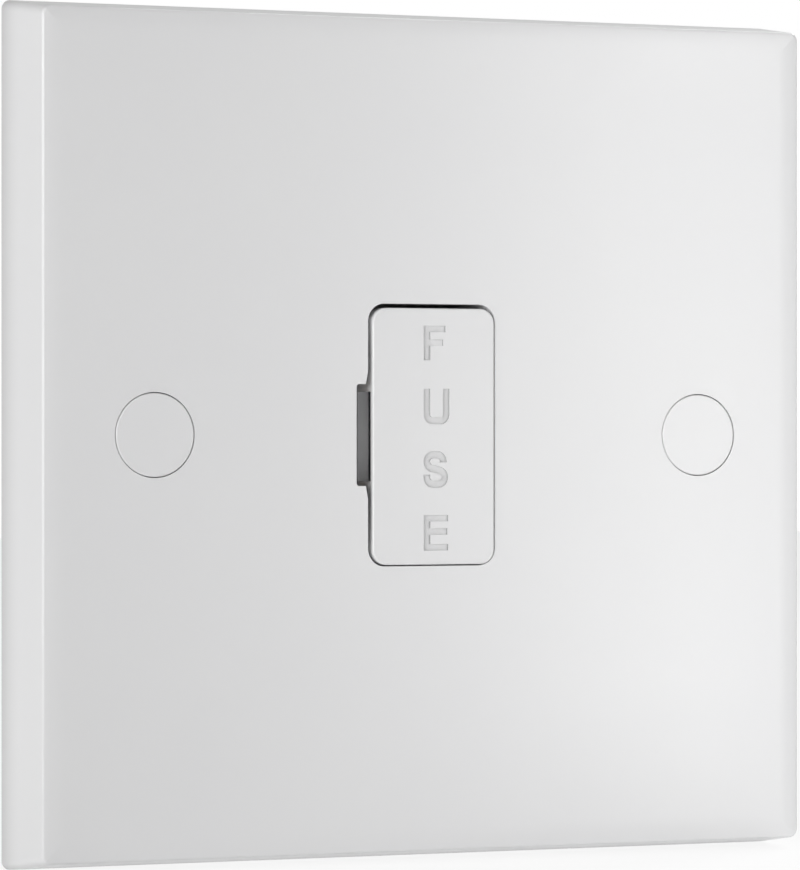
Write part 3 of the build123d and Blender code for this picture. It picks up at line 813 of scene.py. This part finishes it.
def add_camera():
    """Long lens at the photo's angle."""
    data = bpy.data.cameras.new("camera")
    data.lens = CAMERA_LENS
    data.sensor_width = CAMERA_FRAME
    data.sensor_fit = "AUTO"
    data.clip_start = CAMERA_NEAR * MM
    camera = bpy.data.objects.new("camera", data)
    camera.location = Vector(CAMERA_PLACE) * MM
    camera.rotation_euler = (math.radians(90), 0, math.radians(CAMERA_TURN))
    bpy.context.scene.collection.objects.link(camera)
    bpy.context.scene.camera = camera


def softbox(name, place, aim, width, height, power):
    """Oblong lamp of so many watts that shines from one place towards another."""
    data = bpy.data.lights.new(name, "AREA")
    data.shape = "RECTANGLE"
    data.size = width * MM
    data.size_y = height * MM
    data.energy = power
    lamp = bpy.data.objects.new(name, data)
    lamp.visible_camera = False
    lamp.location = Vector(place) * MM
    direction = (Vector(aim) - Vector(place)).normalized()
    lamp.rotation_euler = direction.to_track_quat("-Z", "Y").to_euler()
    bpy.context.scene.collection.objects.link(lamp)


def add_lamps():
    """Strips that the face mirrors at its right, softboxes at the left and behind, and two for the top."""
    softbox("near_strip", (83.8, -105.7, 18), (32, -8.7, 18), 24, 118, 0.0232)
    softbox("far_strip", (85.0, -152.1, 21), (14, -8.7, 21), 34, 124, 0.025)
    softbox("low_strip", (84, -120, -34), (32, -8.7, -34), 24, 16, 0.0038)
    softbox("high_strip", (84, -120, 64), (32, -8.7, 54), 24, 30, 0.0058)
    softbox("left_front", (-560, -380, 100), (-30, 0, 0), 280, 280, 1.47)
    softbox("left_side", (-620, -220, 100), (-30, 0, 0), 280, 280, 1.1)
    softbox("overhead", (265, 0, 640), (0, 0, 43), 400, 90, 1.0)
    softbox("top_right", (150, 80, 170), (43, 0, 43), 80, 80, 0.075)
    softbox("rear", (560, 350, 330), (0, 0, 0), 240, 240, 1.7)


def add_world():
    """Soft light all round, white to the camera and a pale grey in reflections."""
    world = bpy.data.worlds.new("studio")
    bpy.context.scene.world = world
    world.use_nodes = True
    tree = world.node_tree
    tree.nodes.clear()
    path = add(tree, "ShaderNodeLightPath").outputs
    mirrored = add(
        tree,
        "ShaderNodeMath",
        {0: path["Is Glossy Ray"], 1: path["Is Transmission Ray"]},
        operation="MAXIMUM",
    )
    soft = add(
        tree,
        "ShaderNodeMath",
        {0: mirrored.outputs[0], 1: WORLD_MIRRORED - WORLD_LIGHT, 2: WORLD_LIGHT},
        operation="MULTIPLY_ADD",
    )
    strength = add(
        tree, "ShaderNodeMath", {0: soft.outputs[0], 1: path["Is Camera Ray"]}, operation="MAXIMUM"
    )
    sky = add(tree, "ShaderNodeBackground", {"Color": srgb("#FFFFFF"), "Strength": strength.outputs[0]})
    add(tree, "ShaderNodeOutputWorld", {"Surface": sky.outputs["Background"]})


def paper_floor():
    """White paper: near white to the eye and in reflections, still shaded by the object, and a dim lamp."""
    material, tree, place = start_material("paper_floor")
    fibre = add(tree, "ShaderNodeTexNoise", {"Vector": place, "Scale": every(3), "Detail": 3.0})
    tint = add(
        tree,
        "ShaderNodeMix",
        {0: fibre.outputs["Fac"], 6: srgb("#F4F4F4"), 7: srgb("#FAFAFA")},
        data_type="RGBA",
    )
    paper = add(tree, "ShaderNodeBsdfDiffuse", {"Color": tint.outputs[2]})
    white = add(tree, "ShaderNodeEmission", {"Color": srgb("#FFFFFF"), "Strength": 1.0})
    path = add(tree, "ShaderNodeLightPath").outputs
    seen = add(
        tree, "ShaderNodeMath", {0: path["Is Camera Ray"], 1: path["Is Glossy Ray"]}, operation="MAXIMUM"
    )
    shown = add(
        tree, "ShaderNodeMath", {0: seen.outputs[0], 1: path["Is Transmission Ray"]}, operation="MAXIMUM"
    )
    share = add(
        tree,
        "ShaderNodeMath",
        {0: shown.outputs[0], 1: FLOOR_WHITE - FLOOR_LIGHT, 2: FLOOR_LIGHT},
        operation="MULTIPLY_ADD",
    )
    both = add(
        tree,
        "ShaderNodeMixShader",
        {0: share.outputs[0], 1: paper.outputs["BSDF"], 2: white.outputs["Emission"]},
    )
    add(tree, "ShaderNodeOutputMaterial", {"Surface": both.outputs[0]})
    return material


def add_floor():
    """Plain floor just under the plate."""
    solid = bmesh.new()
    bmesh.ops.create_grid(solid, x_segments=1, y_segments=1, size=FLOOR_SIZE / 2 * MM)
    bmesh.ops.translate(solid, verts=solid.verts, vec=(0, 0, cad_box[0].z - FLOOR_DROP * MM))
    mesh = bpy.data.meshes.new("floor")
    solid.to_mesh(mesh)
    solid.free()
    mesh.materials.append(paper_floor())
    floor = bpy.data.objects.new("floor", mesh)
    bpy.context.scene.collection.objects.link(floor)


FINISHES = finish_of_each_slot()
finish_cad_nodes()
lettered_carrier()
rear_marks()
for side in ("left", "right"):
    threaded_fixing_screw(side)
add_camera()
add_lamps()
add_world()
add_floor()
bpy.context.scene.view_settings.view_transform = "Standard"
